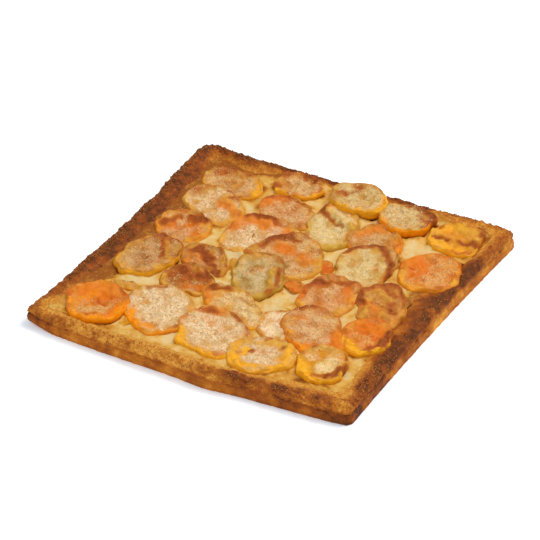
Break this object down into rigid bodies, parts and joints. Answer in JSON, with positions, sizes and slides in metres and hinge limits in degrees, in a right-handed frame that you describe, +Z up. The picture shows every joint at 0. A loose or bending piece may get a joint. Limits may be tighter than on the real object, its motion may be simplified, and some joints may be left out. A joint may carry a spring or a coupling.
{
  "type": "apricot tart",
  "caption": "Square baked tart: a thin folded pastry case with a rough raised rim, set custard, and apricot halves sunk in it cut side up.",
  "frame": {"origin": "on the table, under the middle of the tart's bounding box", "axes": "+Z up; +X along the front edge from the lifted corner; +Y from the front edge to the back edge"},
  "size_m": [0.2532, 0.2615, 0.0218],
  "materials": {
    "baked_pastry": "rough browned pastry crust, dull",
    "baked_custard": "smooth pale custard, browned near the rim, slight sheen",
    "baked_apricot": "moist baked fruit dusted with fine sugar, slight sheen"
  },
  "bodies": {
    "root": {"pastry_case": "baked_pastry", "custard": "baked_custard", "apricot_01": "baked_apricot", "apricot_02": "baked_apricot", "apricot_03": "baked_apricot", "apricot_04": "baked_apricot", "apricot_05": "baked_apricot", "apricot_06": "baked_apricot", "apricot_07": "baked_apricot", "apricot_08": "baked_apricot", "apricot_09": "baked_apricot", "apricot_10": "baked_apricot", "apricot_11": "baked_apricot", "apricot_12": "baked_apricot", "apricot_13": "baked_apricot", "apricot_14": "baked_apricot", "apricot_15": "baked_apricot", "apricot_16": "baked_apricot", "apricot_17": "baked_apricot", "apricot_18": "baked_apricot", "apricot_19": "baked_apricot", "apricot_20": "baked_apricot", "apricot_21": "baked_apricot", "apricot_22": "baked_apricot", "apricot_23": "baked_apricot", "apricot_24": "baked_apricot", "apricot_25": "baked_apricot", "apricot_26": "baked_apricot", "apricot_27": "baked_apricot", "apricot_28": "baked_apricot", "apricot_29": "baked_apricot", "apricot_30": "baked_apricot", "apricot_31": "baked_apricot", "apricot_32": "baked_apricot", "apricot_33": "baked_apricot", "apricot_34": "baked_apricot"}
  },
  "joints": []
}
